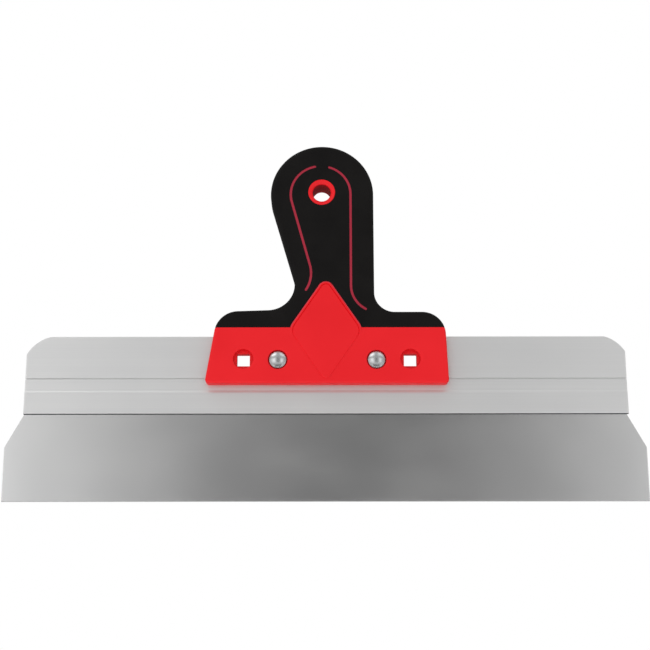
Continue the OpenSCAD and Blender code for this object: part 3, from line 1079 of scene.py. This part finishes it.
def aluminium():
    a = Mat("mill_aluminium", (0.74, 0.74, 0.735), 0.78, 0.38)
    die = a.noise(1.0, (0.004, 1.6, 1.6), detail=4, rough=0.6)
    fine = a.noise(1.0, (0.03, 7.0, 7.0), detail=3, rough=0.6)
    cloud = a.noise(0.02, (1, 1, 1.5), detail=2)
    tone = a.math("ADD", a.remap(die, 0.25, 0.75, 0.0, 0.6), a.remap(cloud, 0.3, 0.7, 0.0, 0.4))
    a.colour(a.mix(tone, (0.715, 0.716, 0.717), (0.765, 0.765, 0.76)))
    a.rough(a.math("ADD", a.remap(fine, 0.2, 0.8, 0.33, 0.41), a.remap(die, 0.3, 0.7, -0.02, 0.04)))
    a.bump(a.math("ADD", a.math("MULTIPLY", die, 0.7), a.math("MULTIPLY", fine, 0.3)), 0.006)
    return a.m


def painted_slot_shade():
    # Near-black colour for the slot mouth: painted shade of the gap under the clamp lip.
    a = Mat("painted_shade_slot_mouth", (0.012, 0.012, 0.013), 0, 0.6, 0.2)
    n = a.noise(1.2, detail=3)
    a.colour(a.mix(a.remap(n, 0.3, 0.7, 0, 1), (0.008, 0.008, 0.009), (0.02, 0.02, 0.021)))
    a.rough(a.remap(n, 0.3, 0.7, 0.5, 0.7))
    a.bump(n, 0.03)
    return a.m


def stainless():
    a = Mat("rolled_stainless", (0.70, 0.70, 0.70), 1, 0.24)
    grain = a.noise(1.0, (0.012, 3.0, 5.0), detail=4, rough=0.65)
    fine = a.noise(1.0, (0.08, 9.0, 14.0), detail=3, rough=0.6)
    cloud = a.noise(0.012, (1, 1, 2), detail=2)
    tone = a.math("ADD", a.remap(grain, 0.25, 0.75, 0.0, 0.6), a.remap(cloud, 0.3, 0.7, 0.0, 0.4))
    a.colour(a.mix(tone, (0.675, 0.677, 0.68), (0.735, 0.733, 0.728)))
    a.rough(a.math("ADD", a.remap(fine, 0.2, 0.8, 0.20, 0.27), a.remap(cloud, 0.3, 0.7, -0.015, 0.015)))
    a.bump(a.math("ADD", a.math("MULTIPLY", grain, 0.6), a.math("MULTIPLY", fine, 0.4)), 0.003)
    return a.m


def plated():
    a = Mat("bright_plated_steel", (0.53, 0.545, 0.55), 0.78, 0.22)
    n = a.noise(0.9, detail=3)
    s = a.noise(4.0, detail=3, rough=0.6)
    a.colour(a.mix(a.remap(n, 0.3, 0.7, 0, 1), (0.50, 0.52, 0.525), (0.57, 0.58, 0.585)))
    a.rough(a.remap(s, 0.3, 0.7, 0.17, 0.25))
    a.bump(s, 0.004)
    return a.m


def zinc():
    a = Mat("zinc_plated_steel", (0.60, 0.61, 0.62), 1, 0.36)
    n = a.noise(1.3, detail=4, rough=0.6)
    s = a.noise(6.0, detail=3)
    a.colour(a.mix(a.remap(n, 0.3, 0.7, 0, 1), (0.54, 0.55, 0.57), (0.66, 0.67, 0.67)))
    a.rough(a.remap(s, 0.3, 0.7, 0.30, 0.44))
    a.bump(s, 0.006)
    return a.m


RED, RIB_SHADED_RED, BEAD_SHEEN_RED, BLACK, ALU, STEEL, CHROME, ZINC = red_plastic(), rib_shaded_red(), bead_sheen_red(), black_rubber(), aluminium(), stainless(), plated(), zinc()


# ------------------------------------------------------------------
# The pieces, each riding on the one body
# ------------------------------------------------------------------
def place(o, slot, *nodes):
    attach(o, "root")
    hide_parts(*nodes)
    return o


core_ob = red_solid.to_object("handle_core_moulding", [RED, RIB_SHADED_RED, BEAD_SHEEN_RED, bore_painted_shade_red()])
# the bore of the hang hole takes the darker red: painted shade inside the hole
for poly in core_ob.data.polygons:
    c = np.array(poly.center) / MM - [OX, 0, OZ]
    if math.hypot(c[0] - HOLE[0], c[2] - HOLE[1]) < HANG_R + 0.02:
        poly.material_index = 3
place(core_ob, "red_plastic", "handle_core")
place(black_solid.to_object("grip_cover_moulding", [BLACK]), "black_rubber", "grip_cover")
place(make_profile([ALU, painted_slot_shade()]), "aluminium", "back_profile")
place(make_blade([STEEL]), "stainless", "blade")
for side, c in zip(("left", "right"), RIVETS):
    place(lathe("rivet_" + side, c, rivet_profile(), [CHROME]), "plated_steel", "rivets")
    place(lathe("rivet_washer_" + side, c, washer_profile(), [ZINC], closed=True), "zinc_steel", "rivet_washers")


# ------------------------------------------------------------------
# Surroundings: a white studio with a darker gap straight ahead
# ------------------------------------------------------------------
scn = bpy.context.scene
scn.view_settings.view_transform = "Standard"
scn.view_settings.look = "None"
scn.view_settings.exposure = 0.0
scn.view_settings.gamma = 1.0
world = bpy.data.worlds.new("studio")
scn.world = world
world.cycles.sampling_method = "NONE"      # the two tents below are found by the rays themselves
world.use_nodes = True
wt = world.node_tree
wt.nodes.clear()


def wn(kind, **kw):
    n = wt.nodes.new(kind)
    for k, v in kw.items():
        setattr(n, k, v)
    return n


def ramp(src, stops, lo, hi):
    """Brightness along one direction component, from a list of (value, brightness)."""
    mr = wn("ShaderNodeMapRange")
    mr.inputs["From Min"].default_value = lo
    mr.inputs["From Max"].default_value = hi
    wt.links.new(src, mr.inputs["Value"])
    cr = wn("ShaderNodeValToRGB")
    cr.color_ramp.interpolation = "EASE"
    el = cr.color_ramp.elements
    while len(el) > 1:
        el.remove(el[-1])
    for i, (v, b) in enumerate(stops):
        e = el[0] if i == 0 else el.new((v - lo) / (hi - lo))
        e.position = (v - lo) / (hi - lo)
        e.color = (b / 4, b / 4, b / 4, 1)
    wt.links.new(mr.outputs["Result"], cr.inputs["Fac"])
    m = wn("ShaderNodeMath", operation="MULTIPLY")
    m.inputs[1].default_value = 4.0
    wt.links.new(cr.outputs["Color"], m.inputs[0])
    return m.outputs[0]


def wsmooth(src, a, b):
    mr = wn("ShaderNodeMapRange", interpolation_type="SMOOTHSTEP")
    mr.inputs["From Min"].default_value = a
    mr.inputs["From Max"].default_value = b
    wt.links.new(src, mr.inputs["Value"])
    return mr.outputs["Result"]


def wmix(f, a, b):
    m = wn("ShaderNodeMix", data_type="FLOAT")
    wt.links.new(f, m.inputs["Factor"])
    for s, v in (("A", a), ("B", b)):
        if isinstance(v, (int, float)):
            m.inputs[s].default_value = v
        else:
            wt.links.new(v, m.inputs[s])
    return m.outputs["Result"]


tc = wn("ShaderNodeTexCoord")
sep = wn("ShaderNodeSeparateXYZ")
wt.links.new(tc.outputs["Generated"], sep.inputs[0])
DX, DY, DZ = sep.outputs
# What polished surfaces see: a dark gap ahead, brighter cards to each side, a grey ceiling and a pale floor
AHEAD = [(-0.75, 0.9), (-0.55, 1.6), (-0.42, 2.2), (-0.28, 1.75), (-0.17, 0.64), (-0.02, 0.09), (0.06, 0.07),
         (0.17, 0.42), (0.28, 1.4), (0.42, 1.8), (0.55, 0.9), (0.75, 0.6)]
front_strip = ramp(DX, AHEAD, -1.0, 1.0)


def wmath(op, a, b):
    m = wn("ShaderNodeMath", operation=op)
    for i, v in enumerate((a, b)):
        if isinstance(v, (int, float)):
            m.inputs[i].default_value = v
        elif v is not None:
            wt.links.new(v, m.inputs[i])
    return m.outputs[0]


upper = ramp(DZ, [(-1.0, 3.0), (-0.85, 3.2), (-0.68, 2.4), (-0.60, 1.4), (-0.4, 0.7), (-0.1, 0.85), (0.12, 0.8),
                  (0.35, 0.50), (0.7, 0.44), (1.0, 0.5)], -1.0, 1.0)
cards = ramp(DX, [(-0.6, 4.0), (-0.28, 3.8), (-0.05, 1.3), (0.05, 1.1), (0.28, 3.2), (0.6, 3.6)], -1.0, 1.0)
upper = wmath("MULTIPLY", upper, wmix(wsmooth(DZ, 0.45, 0.7), 1.0, cards))
absx = wmath("ABSOLUTE", DX, None)
# a dark shape low in front: the stand and whoever holds the camera
low = wmath("MULTIPLY", wmath("SUBTRACT", 1.0, wsmooth(DZ, -0.38, -0.28)), wsmooth(DZ, -0.82, -0.74))
low = wmath("MULTIPLY", low, wmath("SUBTRACT", 1.0, wsmooth(absx, 0.36, 0.50)))
upper = wmath("MULTIPLY", upper, wmath("SUBTRACT", 1.0, wmath("MULTIPLY", low, 0.93)))
off = wmath("ABSOLUTE", wmath("SUBTRACT", DZ, 0.13), None)
ahead = wmix(wsmooth(off, 0.15, 0.28), front_strip, upper)
glossy = wmix(wsmooth(DY, -0.35, 0.05), ahead, upper)
# What matt surfaces see: an even tent, a little brighter from the upper left, darker straight below
tent = ramp(DZ, [(-1.0, 0.7), (-0.88, 1.3), (-0.6, 2.0), (-0.2, 1.35), (0.2, 1.08), (0.6, 1.2), (1.0, 1.3)], -1.0, 1.0)
side = ramp(DX, [(-1.0, 1.16), (0.0, 1.0), (1.0, 0.86)], -1.0, 1.0)
tent_m = wn("ShaderNodeMath", operation="MULTIPLY")
wt.links.new(tent, tent_m.inputs[0])
wt.links.new(side, tent_m.inputs[1])
lp = wn("ShaderNodeLightPath")
glow = wmix(lp.outputs["Is Glossy Ray"], tent_m.outputs[0], glossy)
# the room straight behind the knife is dim, so the holes read dark inside
behind = wsmooth(DY, 0.62, 0.86)
glow = wmix(behind, glow, 0.28)
lit = wn("ShaderNodeBackground")
wt.links.new(glow, lit.inputs["Strength"])
plain = wn("ShaderNodeBackground")
plain.inputs["Strength"].default_value = 1.0
plain.inputs["Color"].default_value = (1, 1, 1, 1)
ms = wn("ShaderNodeMixShader")
wt.links.new(lp.outputs["Is Camera Ray"], ms.inputs["Fac"])
wt.links.new(lit.outputs[0], ms.inputs[1])
wt.links.new(plain.outputs[0], ms.inputs[2])
wo = wn("ShaderNodeOutputWorld")
wt.links.new(ms.outputs[0], wo.inputs["Surface"])


def area(name, loc, target, size, power, colour=(1, 1, 1)):
    L = bpy.data.lights.new(name, "AREA")
    L.shape = "RECTANGLE"
    L.size, L.size_y = size
    L.energy = power
    L.color = colour
    o = bpy.data.objects.new(name, L)
    o.location = loc
    o.rotation_euler = (Vector(target) - Vector(loc)).to_track_quat("-Z", "Y").to_euler()
    scn.collection.objects.link(o)
    return o


area("key", (-0.75, -0.9, 1.05), (0, 0, -0.06), (0.7, 0.7), 1.2)

# ------------------------------------------------------------------
# Camera: low, a little under the cutting edge, looking up
# ------------------------------------------------------------------
F_PX = 1400.0
yaw, pitch, rollc = math.radians(-0.089), math.radians(14.927), math.radians(-0.043)
fw = Vector((math.sin(yaw) * math.cos(pitch), math.cos(yaw) * math.cos(pitch), math.sin(pitch)))
rt = Vector((math.cos(yaw), -math.sin(yaw), 0))
up = rt.cross(fw)
rt2 = rt * math.cos(rollc) + up * math.sin(rollc)
up2 = up * math.cos(rollc) - rt * math.sin(rollc)
cam = bpy.data.cameras.new("camera")
cam.sensor_width = 36.0
cam.lens = F_PX / 650 * 36.0
cam.clip_start, cam.clip_end = 0.05, 20
co = bpy.data.objects.new("camera", cam)
M = Matrix((rt2, up2, -fw)).transposed().to_4x4()
M.translation = Vector((1.2 + OX, -861.3, -117.05 + OZ)) * MM
co.matrix_world = M
scn.collection.objects.link(co)
scn.camera = co

bpy.context.view_layer.update()
